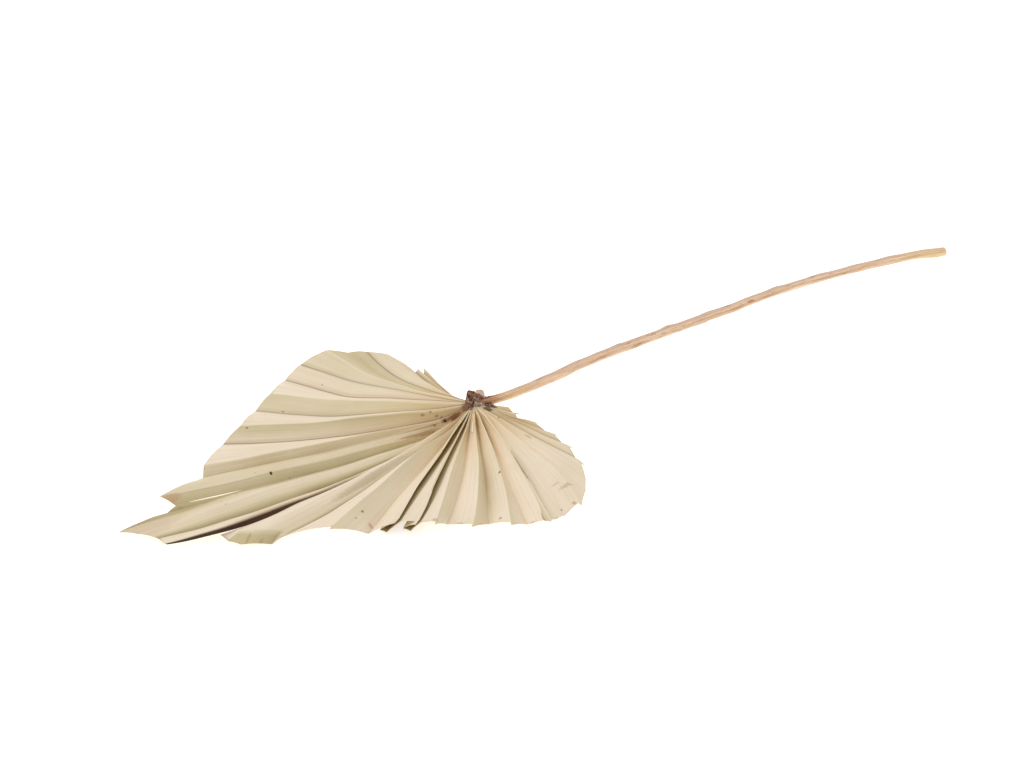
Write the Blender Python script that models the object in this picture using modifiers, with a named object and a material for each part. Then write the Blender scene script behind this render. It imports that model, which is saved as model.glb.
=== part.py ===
"""A dried fan palm leaf, trimmed to a spear shape, lying on a table.

Three solids: the pleated blade, the stalk (petiole) that carries it, and the hastula, the torn papery
collar that stands where the two meet. Metres, +Z up, +X from the tip along the stalk.

The blade is worked out round the hub, the point where all its folds meet. A bearing is measured at the
hub in degrees from the tip, positive towards -Y and negative towards +Y. Until the last step the hub
stands on the Z axis; place_on_table then puts the origin under the middle of the leaf.
"""

import math

import bmesh
import bpy
from mathutils import Vector

MM = 0.001

# Driving dimensions
HUB_HEIGHT = 15 * MM
HUB_RADIUS = 3.8 * MM
BLADE_THICKNESS = 0.6 * MM
BLADE_ROWS = 10
WELD_DISTANCE = 0.01 * MM
PLEAT_BOW = 0.12
TUCK = 0.05

# Reach of the trimmed edge from the hub, as bearing in degrees and millimetres.
OUTLINE = (
    (-97, 22), (-92, 38), (-88, 58), (-84, 76), (-79, 93), (-70, 112), (-65, 118), (-58, 115), (-43, 112),
    (-26, 123), (-12, 146), (-6, 162), (-2, 172), (1, 203), (9, 195), (10, 165), (14, 164), (18.5, 152),
    (23, 134), (29, 126), (37, 108), (68, 108), (80, 110), (91, 101), (103, 86), (112, 67), (119, 44),
    (126, 28), (134, 22), (141, 19),
)
# What a valley keeps of its reach, by bearing: the leaf was trimmed while it was folded up.
VALLEY_TRIM = (
    (-75, 1), (-60, 1.02), (-25, 1.03), (-9, 1.02), (-2, 1), (20, 0.98), (50, 0.94), (80, 0.94), (100, 0.97),
    (121, 1),
)

# Bearings of the crests, in degrees, across the fan. The blade is torn after TORN_CREST.
CRESTS = (
    -96, -94, -91.5, -88.5, -80, -69, -59, -44, -27, -12, -4, 1, 9,
    14, 28.5, 40, 45, 50, 59, 68.5, 79, 91, 102, 110, 116, 121, 127, 134, 141,
)
TORN_CREST = 9
TEAR_START = 50 * MM
TEAR_EDGE = 10
TEAR_OPENS_WITHIN = 0.25

# Share of the way from one crest to the next at which the valley between them lies. The tucked pleats
# fold almost straight down, like knife pleats.
VALLEY_SHARE = 0.33
TUCKED_CRESTS = (40, 45)

# Height in millimetres of the folds over the table, by bearing: crests half way out and at the edge,
# then valleys half way out and at the edge.
FOLD_HEIGHTS = (
    (-97, 15, 16, 12, 13),
    (-88, 12, 14, 8, 10),
    (-80, 8, 10, 4, 8),
    (-60, 7, 7, 3, 4),
    (-43, 9, 8, 2, 2),
    (-12, 8, 8, 1.5, 3),
    (1, 8, 6, 2, 5),
    (9, 7, 8, 1, 3),
    (10, 10, 7, 8.5, 2),
    (14, 12.5, 5, 8, 1),
    (29, 13.5, 8, 6, 1),
    (50, 13, 8.5, 6, 1),
    (68, 17, 8, 11, 1),
    (80, 17, 7, 13, 3),
    (103, 15, 6, 12, 4),
    (121, 15, 12, 12, 10),
    (141, 14, 13, 13, 12),
)

# The stalk: points of its centreline in millimetres, X, Y and height over the table with the hub at 0, 0.
STALK_POINTS = (
    (-3, 0, 13.2), (34, -1, 16.4), (85, 8, 17.8), (161, 20, 16.2), (241, 31, 12.4), (322, 36, 6.4),
    (357, 35, 2.55),
)
STALK_STEPS_PER_SPAN = 7
STALK_HALF_WIDTHS = (3.2 * MM, 2.6 * MM)
STALK_HEAD_SHARE = 0.45
STALK_TOP_SHARE = 0.72
STALK_CLEARANCE = 3.6 * MM
STALK_SECTION_POINTS = 14

# The hastula: a collar round the blade side of the hub.
COLLAR_RADIUS = 5.1 * MM
COLLAR_BASE = 15.4 * MM
COLLAR_HEIGHT = 7.5 * MM
COLLAR_THICKNESS = 1 * MM
COLLAR_BEARINGS = (-95, 105)
COLLAR_COLUMNS = 26
COLLAR_ROWS = 4
COLLAR_RIPPLE = 0.5 * MM
COLLAR_RIPPLE_TURNS = 14
# The collar's torn top, as a share of its height: the middle level, then waves as depth, turns and start.
COLLAR_TOP = 0.62
COLLAR_TEARS = ((0.28, 9, 1), (0.16, 23, 0))

BLADE_COLOUR = (0.66, 0.58, 0.42)
STALK_COLOUR = (0.62, 0.42, 0.25)
COLLAR_COLOUR = (0.13, 0.07, 0.05)


def interpolate(table, position, column=1):
    """The value of a table's column at a position, straight between the two nearest rows."""
    if position <= table[0][0]:
        return table[0][column]
    for low, high in zip(table, table[1:]):
        if position <= high[0]:
            share = (position - low[0]) / (high[0] - low[0])
            return low[column] + share * (high[column] - low[column])
    return table[-1][column]


def new_material(name, colour, roughness):
    """A Principled material of one colour."""
    material = bpy.data.materials.new(name)
    material.use_nodes = True
    shader = material.node_tree.nodes["Principled BSDF"]
    shader.inputs["Base Color"].default_value = (*colour, 1)
    shader.inputs["Roughness"].default_value = roughness
    shader.inputs["Metallic"].default_value = 0
    return material


def new_object(name, mesh_or_curve, material, collection):
    """An object of this name, with its material, in the collection."""
    made = bpy.data.objects.new(name, mesh_or_curve)
    made.data.materials.append(material)
    collection.objects.link(made)
    return made


def root_radius(bearing):
    """Where the blade starts at a bearing: round the stalk's head, and beside the stalk behind it."""
    sideways = math.sin(math.radians(abs(bearing)))
    return HUB_RADIUS if abs(bearing) < 90 else max(HUB_RADIUS, STALK_CLEARANCE / sideways)


class Fold:
    """One crest or valley of the blade: a line that runs from the hub to the trimmed edge."""

    def __init__(self, bearing, is_crest):
        self.bearing = bearing
        self.root = root_radius(bearing)
        self.reach = interpolate(OUTLINE, bearing) * MM
        if not is_crest:
            self.reach *= interpolate(VALLEY_TRIM, bearing)
        first = 1 if is_crest else 3
        self.half_way = interpolate(FOLD_HEIGHTS, bearing, first) * MM
        self.edge = interpolate(FOLD_HEIGHTS, bearing, first + 1) * MM

    def point(self, share):
        """The point at a share of the way out, on the parabola through its three heights."""
        radius = self.root + share * (self.reach - self.root)
        bend = 2 * (HUB_HEIGHT + self.edge - 2 * self.half_way)
        height = HUB_HEIGHT + share * (self.edge - HUB_HEIGHT) - bend * share * (1 - share)
        angle = math.radians(self.bearing)
        return Vector((-radius * math.cos(angle), -radius * math.sin(angle), max(height, BLADE_THICKNESS)))


def folds_of(crests, first_edge=None):
    """Crests and the valleys between them, in order. first_edge is the bearing of a torn low edge."""
    folds = [] if first_edge is None else [Fold(first_edge, False)]
    for crest, after in zip(crests, crests[1:]):
        share = TUCK if crest in TUCKED_CRESTS else VALLEY_SHARE
        folds += [Fold(crest, True), Fold(crest + share * (after - crest), False)]
    return folds + [Fold(crests[-1], True)]


def panel_columns(folds):
    """Functions that give the columns of points of a fan: each fold, and the bowed middle of each panel."""
    columns = [folds[0].point]
    for before, after in zip(folds, folds[1:]):

        def middle(share, before=before, after=after):
            first, second = before.point(share), after.point(share)
            bow = PLEAT_BOW * abs(first.z - second.z) * share
            return (first + second) / 2 + Vector((0, 0, bow))

        columns += [middle, after.point]
    return columns


def make_fan(columns):
    """A sheet of faces, one grid whose columns run from the hub to the edge."""
    fan = bmesh.new()
    last = len(columns) - 1
    bmesh.ops.create_grid(fan, x_segments=last, y_segments=BLADE_ROWS, size=1)
    for vertex in fan.verts:
        column = round((vertex.co.x + 1) / 2 * last)
        share = (vertex.co.y + 1) / 2
        vertex.co = columns[column](share)
    bmesh.ops.recalc_face_normals(fan, faces=fan.faces)
    return fan


def make_blade(material, collection):
    """The pleated blade: two fans that are one sheet near the hub and torn apart further out."""
    torn = CRESTS.index(TORN_CREST)
    far_folds = folds_of(CRESTS[: torn + 1])
    near_folds = folds_of(CRESTS[torn + 1 :], first_edge=TEAR_EDGE)
    last_crest, torn_edge = far_folds[-1], near_folds[0]
    closed_share = (TEAR_START - HUB_RADIUS) / (torn_edge.reach - HUB_RADIUS)

    def near_side_of_tear(share):
        """Follows the last crest as far as the tear's start, then parts from it."""
        whole = last_crest.point(share * torn_edge.reach / last_crest.reach)
        opening = max(0, (share - closed_share) / (1 - closed_share))
        return whole.lerp(torn_edge.point(share), min(1, opening / TEAR_OPENS_WITHIN))

    def far_side_of_tear(share):
        """The last crest, with its rows where the other side has them until the tear's start."""
        shared = share * torn_edge.reach / last_crest.reach
        opening = max(0, (share - closed_share) / (1 - closed_share))
        return last_crest.point(shared + opening * (share - shared))

    far_columns = panel_columns(far_folds)
    near_columns = panel_columns(near_folds)
    far_columns[-1], near_columns[0] = far_side_of_tear, near_side_of_tear

    sheet = bpy.data.meshes.new("blade")
    both = bmesh.new()
    for columns in (far_columns, near_columns):
        fan = make_fan(columns)
        fan.to_mesh(sheet)
        fan.free()
        both.from_mesh(sheet)
    bmesh.ops.remove_doubles(both, verts=both.verts, dist=WELD_DISTANCE)
    bmesh.ops.recalc_face_normals(both, faces=both.faces)
    if sum(face.normal.z for face in both.faces) < 0:
        bmesh.ops.reverse_faces(both, faces=both.faces)
    underside = bmesh.ops.extrude_face_region(both, geom=both.faces[:], use_keep_orig=True)
    lowered = [item for item in underside["geom"] if isinstance(item, bmesh.types.BMVert)]
    bmesh.ops.translate(both, verts=lowered, vec=(0, 0, -BLADE_THICKNESS))
    bmesh.ops.recalc_face_normals(both, faces=both.faces)
    both.to_mesh(sheet)
    both.free()
    return new_object("blade", sheet, material, collection)


def smooth_path(points, steps):
    """A Catmull-Rom curve through the points, with this many steps a span."""
    ends = [2 * points[0] - points[1], *points, 2 * points[-1] - points[-2]]
    path = []
    for a, b, c, d in zip(ends, ends[1:], ends[2:], ends[3:]):
        slope = c - a
        sag = 2 * a - 5 * b + 4 * c - d
        twist = 3 * b - a - 3 * c + d
        for step in range(steps):
            t = step / steps
            path.append(b + (slope * t + sag * t**2 + twist * t**3) / 2)
    return path + [points[-1]]


def stalk_section(collection):
    """The stalk's section at unit half width: round underneath and flatter on top. A guide, not a part."""
    section = bpy.data.curves.new("stalk_section", "CURVE")
    spline = section.splines.new("POLY")
    spline.points.add(STALK_SECTION_POINTS - 1)
    spline.use_cyclic_u = True
    for index, point in enumerate(spline.points):
        angle = -math.tau * index / STALK_SECTION_POINTS
        up = math.sin(angle)
        point.co = (math.cos(angle), up * STALK_TOP_SHARE if up > 0 else up, 0, 1)
    guide = bpy.data.objects.new("stalk_section", section)
    guide.hide_render = True
    guide.display_type = "WIRE"
    collection.objects.link(guide)
    return guide


def make_stalk(material, collection, guides):
    """The petiole, arched a little off the table from the hub to its cut end."""
    path = smooth_path([Vector(point) * MM for point in STALK_POINTS], STALK_STEPS_PER_SPAN)
    curve = bpy.data.curves.new("petiole", "CURVE")
    curve.dimensions = "3D"
    curve.twist_mode = "Z_UP"
    curve.bevel_mode = "OBJECT"
    curve.bevel_object = stalk_section(guides)
    curve.use_fill_caps = True
    spline = curve.splines.new("POLY")
    spline.points.add(len(path) - 1)
    thick, thin = STALK_HALF_WIDTHS
    for index, (point, place) in enumerate(zip(spline.points, path)):
        point.co = (*place, 1)
        point.radius = thick + (thin - thick) * index / (len(path) - 1)
    spline.points[0].radius = STALK_HEAD_SHARE * thick
    return new_object("petiole", curve, material, collection)


def make_hastula(material, collection):
    """The torn collar that stands over the folds on the blade's side of the hub."""
    collar = bmesh.new()
    bmesh.ops.create_grid(collar, x_segments=COLLAR_COLUMNS, y_segments=COLLAR_ROWS, size=1)
    start, end = COLLAR_BEARINGS
    for vertex in collar.verts:
        across = (vertex.co.x + 1) / 2
        up = (vertex.co.y + 1) / 2
        bearing = math.radians(start + across * (end - start))
        tears = sum(depth * math.sin(turns * across + begin) for depth, turns, begin in COLLAR_TEARS)
        radius = COLLAR_RADIUS + COLLAR_RIPPLE * up * math.sin(COLLAR_RIPPLE_TURNS * across)
        height = COLLAR_BASE + up * (COLLAR_TOP + tears) * COLLAR_HEIGHT
        vertex.co = (-radius * math.cos(bearing), -radius * math.sin(bearing), height)
    sheet = bpy.data.meshes.new("hastula")
    collar.to_mesh(sheet)
    collar.free()
    hastula = new_object("hastula", sheet, material, collection)
    wall = hastula.modifiers.new("wall", "SOLIDIFY")
    wall.thickness = COLLAR_THICKNESS
    wall.offset = 0
    return hastula


def place_on_table(parts):
    """Moves the parts together, so that the origin is on the table under the middle of their box."""
    bpy.context.view_layer.update()
    graph = bpy.context.evaluated_depsgraph_get()
    corners = [Vector(corner) for part in parts for corner in part.evaluated_get(graph).bound_box]
    low = Vector(map(min, zip(*corners)))
    high = Vector(map(max, zip(*corners)))
    for part in parts:
        part.location -= Vector(((low.x + high.x) / 2, (low.y + high.y) / 2, low.z))


def main():
    """Builds the leaf in a scene cleared of other objects."""
    for old in list(bpy.data.objects):
        bpy.data.objects.remove(old)
    leaf = bpy.data.collections.new("fan_palm_leaf")
    guides = bpy.data.collections.new("guides")
    bpy.context.scene.collection.children.link(leaf)
    bpy.context.scene.collection.children.link(guides)
    blade = make_blade(new_material("dry_blade", BLADE_COLOUR, 0.7), leaf)
    petiole = make_stalk(new_material("dry_stalk", STALK_COLOUR, 0.6), leaf, guides)
    hastula = make_hastula(new_material("dry_hastula", COLLAR_COLOUR, 0.85), leaf)
    place_on_table((blade, petiole, hastula))


if __name__ == "__main__":
    main()
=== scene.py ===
"""The looks of a dried fan palm leaf: its pleated blade, its stalk and the torn hastula between them.

The blade is described round its hub, the point where all its folds meet. A bearing is measured at the hub in
degrees from the tip, positive towards -Y and negative towards +Y, and a reach is a distance from the hub.
Lengths in tables are in millimetres; everything that reaches Blender is in metres.
"""

import logging
import math
from dataclasses import dataclass, field
from enum import Enum

import bmesh
import bpy
import numpy as np
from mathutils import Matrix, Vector, noise


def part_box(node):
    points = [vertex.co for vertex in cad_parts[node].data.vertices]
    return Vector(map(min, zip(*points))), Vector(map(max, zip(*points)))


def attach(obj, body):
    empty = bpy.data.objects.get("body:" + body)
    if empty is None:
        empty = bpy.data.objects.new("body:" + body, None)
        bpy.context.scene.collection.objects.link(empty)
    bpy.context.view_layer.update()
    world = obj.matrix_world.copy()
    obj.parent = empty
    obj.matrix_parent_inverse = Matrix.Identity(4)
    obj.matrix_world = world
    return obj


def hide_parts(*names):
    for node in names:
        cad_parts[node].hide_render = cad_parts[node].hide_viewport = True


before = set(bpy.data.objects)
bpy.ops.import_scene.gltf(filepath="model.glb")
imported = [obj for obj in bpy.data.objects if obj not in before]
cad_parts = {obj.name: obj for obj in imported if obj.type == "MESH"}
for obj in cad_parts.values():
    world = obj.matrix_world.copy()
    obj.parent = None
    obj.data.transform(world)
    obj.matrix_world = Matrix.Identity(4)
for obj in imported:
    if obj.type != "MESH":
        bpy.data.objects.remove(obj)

LOG = logging.getLogger("fan_palm_leaf")
MM = 0.001
BODY = "root"

# Where the hub stands over the CAD blade's box: the tip's reach along X, and the near lobe's along -Y.
TIP_REACH = 203 * MM
NEAR_LOBE_REACH = 107.8 * MM
HUB_HEIGHT = 15 * MM

# Distances from the folds and the rim are kept on the mesh as shares of this many millimetres.
NEAR = 20.0

# Points of a mesh that are closer than this are one point.
TOUCHING = 0.001 * MM


def hub_place() -> Vector:
    """The foot of the hub on the table, found from the CAD blade's box."""
    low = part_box("blade")[0]
    return Vector((low.x + TIP_REACH, low.y + NEAR_LOBE_REACH, 0))


def deselect_all() -> None:
    for item in bpy.context.selected_objects:
        item.select_set(False)


def ripple(x: float, y: float, seed: float) -> float:
    """Smooth noise from -1 to 1 at a point, different for each seed."""
    return noise.noise(Vector((x, y, seed)))


class Crease(Enum):
    """What a line of the blade is: its kind decides its rib, its shade and how sharply it bends."""

    CREST = "crest"
    VALLEY = "valley"
    SOFT = "soft"
    TORN = "torn"


@dataclass(frozen=True)
class Fold:
    """One line of the blade, from the root at the hub to the trimmed edge.

    Args:
        bearing: degrees from the tip at the edge.
        bow: degrees by which the line's middle is swung off a straight line.
        heights: height over the table in millimetres at 15, 40, 70 and 100% of the way out.
        reach: millimetres from the hub to the edge.
        crease: the kind of line.
        before, after: how olive the leaf is on the line's two sides, from 0 for cream; the olive is partly
            the leaf's own hue and partly painted shade on flanks turned from the light, and past 1 it is
            brown painted shade in the pockets under overhanging folds.
        curl: millimetres by which the edge is curled down.
    """

    bearing: float
    bow: float
    heights: tuple[float, float, float, float]
    reach: float
    crease: Crease
    before: float
    after: float
    curl: float = 0.0


CREST, VALLEY, SOFT, TORN = Crease.CREST, Crease.VALLEY, Crease.SOFT, Crease.TORN

# Each fold's before and after tones paint the leaf's olive hue together with painted shade: flanks turned
# from the light are more olive, and tones past 1 paint brown shade in pockets under overhanging folds.
FOLDS = (
    Fold(-96, 0, (11, 7.6, 6.4, 6.2), 26, CREST, 0.3, 0.3),
    Fold(-94, 0, (10.8, 7, 5.4, 5.4), 38, VALLEY, 0.3, 0.3),
    Fold(-92, 0, (11.2, 8, 8.2, 9.5), 58, CREST, 0.3, 0.3),
    Fold(-91, 0, (10.6, 7, 6, 7), 56, VALLEY, 0.5, 0.5),
    Fold(-89.5, 0, (11.2, 8, 8.4, 9), 60, CREST, 0.3, 0.3),
    Fold(-88, 0, (10.4, 6.6, 5.6, 7), 60, VALLEY, 0.5, 0.5),
    Fold(-85.5, 0, (12, 9, 7.5, 9), 84, SOFT, 0.3, 0.3),
    Fold(-79, 0.7, (12.6, 8.5, 6, 11.5), 90, VALLEY, 0.25, 0.6),
    Fold(-75.5, 0, (11.5, 7, 5, 9.5), 99, SOFT, 0.9, 0.9),
    Fold(-71.5, 0, (12.5, 8, 6, 10), 109, CREST, 0.5, 0.4),
    Fold(-65.5, 1.5, (12, 9, 5, 3), 118, VALLEY, 0.4, 0.1),
    Fold(-61.5, 1.2, (12.2, 9, 5, 4.5), 116, SOFT, 0.3, 0.2),
    Fold(-57.5, 1.2, (12, 7, 1.2, 1.5), 117, VALLEY, 0.1, 0),
    Fold(-46.5, 0.5, (13, 10, 6.5, 5), 115, CREST, 0, 0.8),
    Fold(-37, 0.3, (11, 7, 3, 4), 118, VALLEY, 0.55, 0.1),
    Fold(-25.5, 0.4, (12, 11.3, 8.7, 9), 123.5, CREST, 0.2, 1.1),
    Fold(-21, 1, (7, 4, 3, 4), 133, VALLEY, 0, 0),
    Fold(-10.3, 1, (9, 9.5, 9, 9), 147, CREST, 0.1, 0.5),
    Fold(-8.4, -0.5, (8.5, 5.6, 4.3, 4.2), 149, SOFT, 0.5, 0.4),
    Fold(-2.6, 1, (5, 6, 8, 9.5), 177, CREST, 0.5, 0.7),
    Fold(-0.7, 0.8, (3, 2, 3.5, 5.5), 171, SOFT, 0.9, 1.1),
    Fold(0, 0.9, (3, 2.2, 4, 4.4), 177, SOFT, 1.2, 1.2),
    Fold(1, 1.2, (3, 3.4, 6.4, 4), 204, SOFT, 1.1, 0.9),
    Fold(4, 1.5, (4, 6, 10, 6), 198, SOFT, 0.3, 0.2),
    Fold(6.2, 2.2, (3.3, 4.4, 8.4, 7.8), 195, SOFT, 0.5, 0.5),
    Fold(7.5, 3, (3, 2.8, 6, 7.6), 193.5, SOFT, 1.7, 0.3),
    Fold(9.2, 2.8, (2.5, 4.4, 7.8, 8.8), 195, SOFT, 0, 0),
    Fold(9.5, 3.1, (2.2, 2.6, 3.1, 7.4), 193, TORN, 0, 0),
    Fold(11.3, 2.9, (9, 5, 6, 4.5), 166, TORN, 0, 0),
    Fold(12.8, 2.7, (9.5, 7, 7.5, 6), 165, SOFT, 0, 0, 3.5),
    Fold(15, 2.5, (10, 9, 9, 7.5), 162, SOFT, 0, 0, 5.5),
    Fold(18.6, 2.4, (8.7, 7.7, 6.2, 5.6), 151, SOFT, 0.5, 0.5, 4.5),
    Fold(20, 2.3, (7.5, 7.4, 5.6, 4.8), 147, VALLEY, 0.5, 0),
    Fold(27.5, 0.4, (11, 13.5, 11.5, 9.5), 131, CREST, 0, 0.5),
    Fold(33.3, 0.5, (11, 8, 5.6, 1.4), 118, SOFT, 0.2, 0),
    Fold(39.9, -0.4, (15, 12.7, 11.6, 8.7), 111.5, CREST, 0, 0),
    Fold(34.9, 0.3, (11.5, 7.5, 4.6, 1.2), 111.5, VALLEY, 0.9, 1.4),
    Fold(37.5, 0.6, (11.4, 9, 7.4, 2.6), 114.5, SOFT, 1.8, 1.6),
    Fold(40.5, 1.2, (12.8, 10.9, 10.3, 7.8), 110.5, SOFT, 1, 0),
    Fold(45, 0.2, (14.5, 14.2, 12.3, 9), 110, CREST, 0, 0),
    Fold(40.8, 0.2, (11.6, 8.6, 5.6, 2.2), 108.5, VALLEY, 0.9, 1.4),
    Fold(43.2, 0.8, (11.4, 10.4, 8.4, 3.6), 111.5, SOFT, 1.8, 1.6),
    Fold(45.6, 1.9, (11.8, 12.3, 11, 8), 109, SOFT, 1, 0),
    Fold(49.5, 0.4, (13.8, 14.2, 13, 9), 108.5, CREST, 0, 0.5),
    Fold(52, 2.5, (12, 10.2, 7.4, 4.2), 103, SOFT, 0.3, 0),
    Fold(58.7, 3, (15.5, 15, 13.5, 6), 105, CREST, 0.1, 0.6),
    Fold(63.7, 0.8, (12.5, 11, 6.9, 2), 99, SOFT, 0.6, 0.4),
    Fold(69.2, 1.5, (16, 16, 12.5, 6), 105, CREST, 0, 0.5),
    Fold(74.4, -0.7, (12, 11, 7.5, 1.5), 102, SOFT, 0, 0),
    Fold(79.6, 0.3, (17, 16.5, 12, 6.5), 108.5, CREST, 0.1, 0.5),
    Fold(78.4, 0.3, (12.4, 10, 7.4, 5.6), 108, VALLEY, 0.9, 0.7),
    Fold(81.5, 0.3, (15.6, 13.6, 9.2, 5.6), 108, SOFT, 0.3, 0.3),
    Fold(85, 1, (14, 13, 10, 3.5), 104, SOFT, 0, 0),
    Fold(90.3, 2.2, (15.5, 14, 13, 6.4), 101, CREST, 0.1, 0.1),
    Fold(96.5, 0, (13.5, 11.5, 11, 5.5), 93, SOFT, 0, 0),
    Fold(100, -0.3, (14, 12.5, 11.7, 8), 87, SOFT, 0.1, 0.1),
    Fold(104, -0.6, (14.5, 13.5, 12.3, 10.5), 78, CREST, 0.1, 0.1),
    Fold(107.5, 0, (13, 11, 10.3, 9), 70, VALLEY, 0.3, 0.3),
    Fold(111, 0, (14.5, 13.5, 12.3, 11), 63, CREST, 0.3, 0.3),
    Fold(113.5, 0, (13, 11.5, 10.5, 10), 56, VALLEY, 0.3, 0.3),
    Fold(116, 0, (14.5, 13.5, 12.8, 12), 50, CREST, 0.3, 0.3),
    Fold(119, 0, (13.5, 12, 11, 11), 43, VALLEY, 0.3, 0.3),
    Fold(121, 0, (14.5, 14, 13.3, 13), 36, CREST, 0.3, 0.3),
    Fold(125, 0, (13.5, 12.5, 11.5, 12), 25, VALLEY, 0.3, 0.3),
    Fold(131, 0, (14.5, 14.2, 13.3, 13), 23, CREST, 0.3, 0.3),
    Fold(138, 0, (14, 13, 12.2, 12), 21, VALLEY, 0.3, 0.3),
    Fold(151, 0, (14.5, 14, 13.5, 13), 18, CREST, 0.3, 0.3),
)


@dataclass(frozen=True)
class Slit:
    """A crack along the fibres of one panel.

    Args:
        after: bearing of the fold that the panel follows.
        place: share of the way across the panel.
        start, end: millimetres from the hub.
        gap: widest opening in millimetres.
    """

    after: float
    place: float
    start: float
    end: float
    gap: float


SLITS = (
    Slit(-2.6, 0.95, 136, 166, 0.7),
    Slit(52, 0.64, 8, 29, 4.6),
)


def flowing(knots: np.ndarray, values: np.ndarray, at: np.ndarray) -> np.ndarray:
    """A smooth curve through the knots that never overshoots them.

    Args:
        knots: rising positions of the knots.
        values: the curve's value at each knot.
        at: where to read the curve.

    Returns:
        The curve's values.
    """
    gaps = np.diff(knots)
    rises = np.diff(values) / gaps
    slopes = np.zeros(len(knots))
    slopes[0], slopes[-1] = rises[0], rises[-1]
    for index in range(1, len(knots) - 1):
        before, after = rises[index - 1], rises[index]
        if before * after > 0:
            slopes[index] = 2 * before * after / (before + after)
    span = np.clip(np.searchsorted(knots, at, side="right") - 1, 0, len(gaps) - 1)
    gap = gaps[span]
    t = (at - knots[span]) / gap
    low, high = values[span], values[span + 1]
    return (
        (1 + 2 * t) * (1 - t) ** 2 * low
        + t * (1 - t) ** 2 * gap * slopes[span]
        + t**2 * (3 - 2 * t) * high
        + t**2 * (t - 1) * gap * slopes[span + 1]
    )


@dataclass(frozen=True)
class Unevenness:
    """A smooth irregularity of the dried sheet.

    Args:
        first, second: how quickly it changes along its two directions.
        seed: which irregularity it is.
    """

    first: float
    second: float
    seed: float

    def at(self, x: float, y: float) -> float:
        """The irregularity at a point, from -1 to 1."""
        return ripple(x * self.first, y * self.second, self.seed)


@dataclass(frozen=True)
class Panel:
    """The leaf between two neighbouring folds.

    Args:
        before, after: the two folds.
        start: the first fold's points, by row.
        first: the same, but reaching farther where the panel is trimmed longer than the one before it.
        last: the second fold's points.
    """

    before: Fold
    after: Fold
    start: np.ndarray
    first: np.ndarray
    last: np.ndarray

    @property
    def width(self) -> np.ndarray:
        """How wide the panel is at each row."""
        return np.linalg.norm(self.last - self.first, axis=1)

    @property
    def is_open(self) -> bool:
        """Whether the large tear runs through here."""
        return self.before.crease is TORN and self.after.crease is TORN

    @property
    def is_strip(self) -> bool:
        """Whether this is the strip that ends at the large tear."""
        return self.after.crease is TORN and self.before.crease is not TORN

    def column(self, place: float) -> np.ndarray:
        """Points by row at a share of the way across the flat panel."""
        start = self.start if place == 0 else self.first
        return start + (self.last - start) * place

    def distance(self, place: float, kinds: tuple[Crease, ...]) -> np.ndarray:
        """How far a column is from the panel's folds of some kinds.

        Args:
            place: the column's share of the way across.
            kinds: the kinds of fold that count.

        Returns:
            By row, the distance as a share of NEAR, up to 1.
        """
        nearest = np.full(len(self.last), 1.0)
        if self.before.crease in kinds:
            nearest = np.minimum(nearest, place * self.width / (NEAR * MM))
        if self.after.crease in kinds:
            nearest = np.minimum(nearest, (1 - place) * self.width / (NEAR * MM))
        return nearest


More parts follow.
